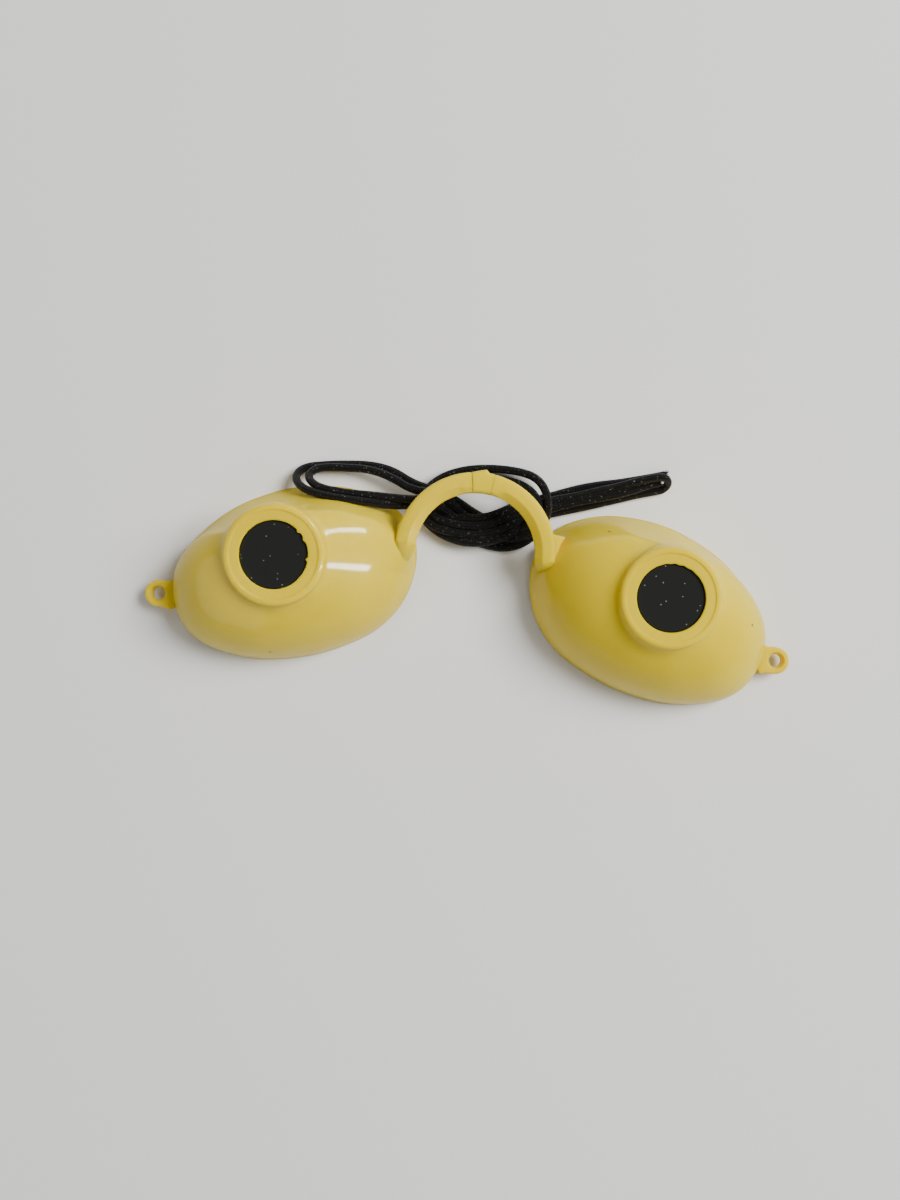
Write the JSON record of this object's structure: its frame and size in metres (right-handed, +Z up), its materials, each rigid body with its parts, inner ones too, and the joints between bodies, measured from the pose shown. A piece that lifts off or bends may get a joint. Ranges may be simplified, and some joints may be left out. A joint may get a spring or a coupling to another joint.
{
  "type": "tanning goggles",
  "caption": "Soft one-piece tanning goggles with deep eye cups, round dark lenses in raised collars, an arched nose bridge, temple tabs and a knotted elastic.",
  "frame": {"origin": "on the surface the goggles lie on, under the middle of the nose bridge's gap, halfway from brow to cheek", "axes": "+X across the face towards the cup shown on the right, +Y towards the brow, +Z up from the rims to the lenses"},
  "size_m": [0.112, 0.0406, 0.019],
  "materials": {
    "shell": "glossy soft yellow plastic, a little translucent",
    "lens": "near-black semi-gloss",
    "elastic": "braided elastic, matt black"
  },
  "bodies": {
    "bridge": {"nose_bridge": "shell", "elastic_cord": "elastic"},
    "left_side": {"left_eyecup": "shell", "left_cord_tab": "shell", "left_lens": "lens"},
    "right_side": {"right_eyecup": "shell", "right_cord_tab": "shell", "right_lens": "lens"}
  },
  "joints": [
    {"name": "left_wrap", "type": "hinge", "parent": "bridge", "child": "left_side", "pos_m": [-0.0103, 0.0095, 0.00985], "axis": [0, -1, 0], "range_deg": [-5, 8], "stiffness_Nm_per_rad": 0.05},
    {"name": "right_wrap", "type": "hinge", "parent": "bridge", "child": "right_side", "pos_m": [0.0103, 0.0095, 0.00985], "axis": [0, 1, 0], "range_deg": [-5, 8], "stiffness_Nm_per_rad": 0.05}
  ]
}
